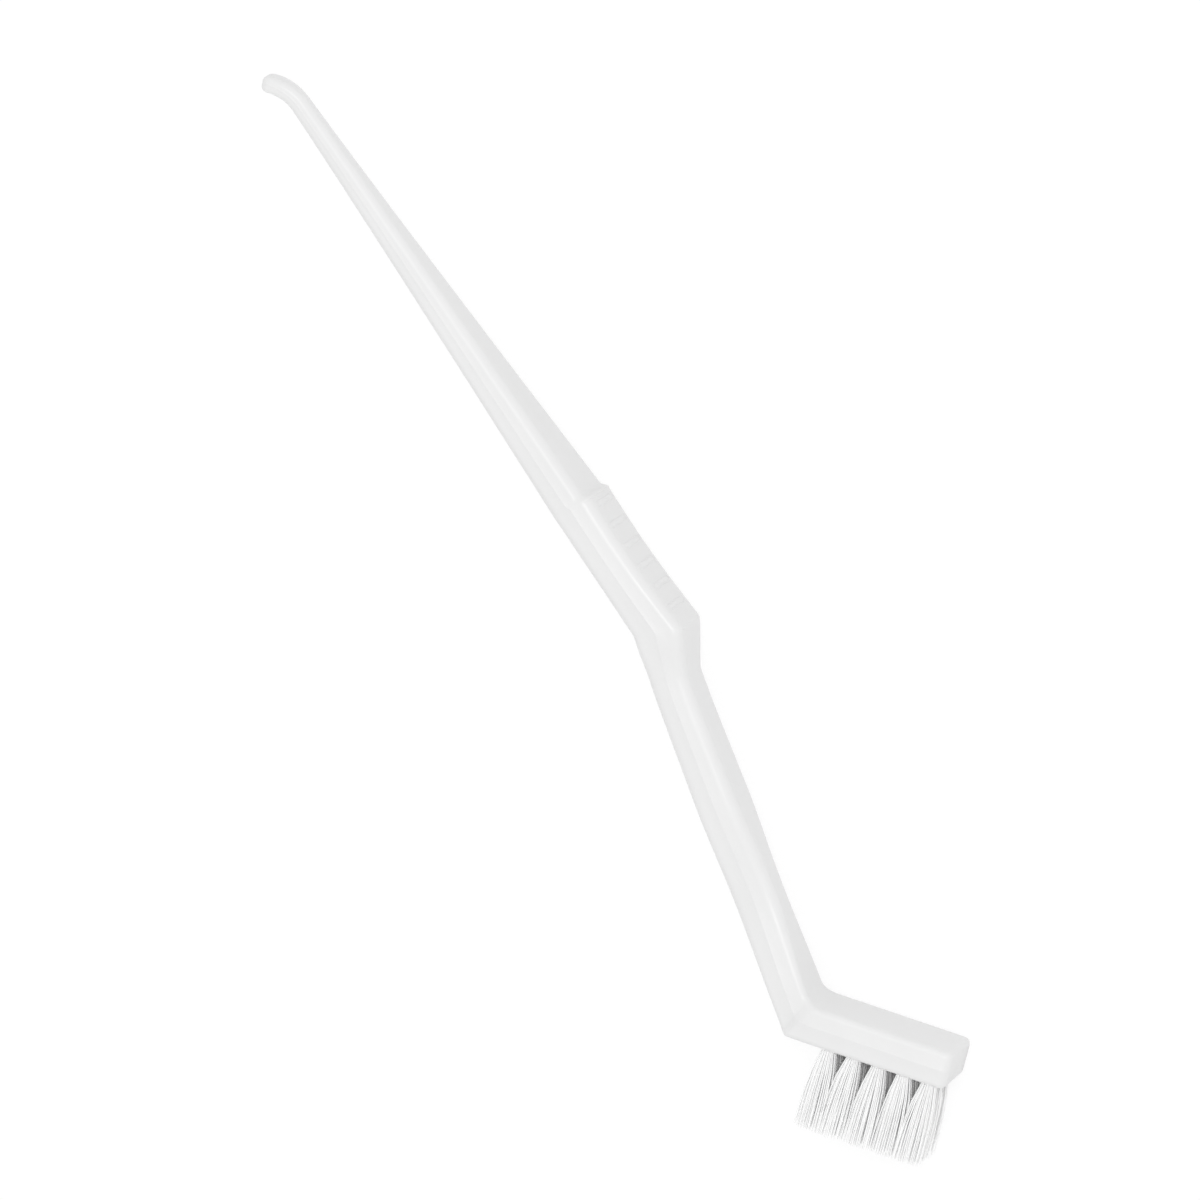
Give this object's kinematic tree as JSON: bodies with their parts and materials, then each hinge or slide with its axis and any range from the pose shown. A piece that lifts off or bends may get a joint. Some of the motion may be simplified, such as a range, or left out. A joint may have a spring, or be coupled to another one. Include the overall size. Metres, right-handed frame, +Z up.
{
  "type": "cleaning brush",
  "caption": "Slim white cleaning brush with a hooked pick at one end, a raised thumb pad, an angled neck and a small bent-back head of nylon tufts.",
  "frame": {"origin": "centre of the bounding box, on the surface that the brush lies on", "axes": "+X along the grip toward the head, +Y toward the back of the brush, away from the bristle side, and +Z up, across the width of the handle"},
  "size_m": [0.1882, 0.0308, 0.0119],
  "materials": {
    "white_plastic": "white moulded polypropylene, satin to semi-gloss",
    "white_nylon": "milky white nylon filament",
    "anchor_steel": "bright drawn flat wire"
  },
  "bodies": {
    "root": {"handle": "white_plastic", "tuft_c1_r1": "white_nylon", "tuft_c1_r2": "white_nylon", "tuft_c1_r3": "white_nylon", "tuft_c2_r1": "white_nylon", "tuft_c2_r2": "white_nylon", "tuft_c2_r3": "white_nylon", "tuft_c3_r1": "white_nylon", "tuft_c3_r2": "white_nylon", "tuft_c3_r3": "white_nylon", "tuft_c4_r1": "white_nylon", "tuft_c4_r2": "white_nylon", "tuft_c4_r3": "white_nylon", "tuft_c5_r1": "white_nylon", "tuft_c5_r2": "white_nylon", "tuft_c5_r3": "white_nylon", "anchor_c1_r1": "anchor_steel", "anchor_c1_r2": "anchor_steel", "anchor_c1_r3": "anchor_steel", "anchor_c2_r1": "anchor_steel", "anchor_c2_r2": "anchor_steel", "anchor_c2_r3": "anchor_steel", "anchor_c3_r1": "anchor_steel", "anchor_c3_r2": "anchor_steel", "anchor_c3_r3": "anchor_steel", "anchor_c4_r1": "anchor_steel", "anchor_c4_r2": "anchor_steel", "anchor_c4_r3": "anchor_steel", "anchor_c5_r1": "anchor_steel", "anchor_c5_r2": "anchor_steel", "anchor_c5_r3": "anchor_steel"}
  },
  "joints": []
}
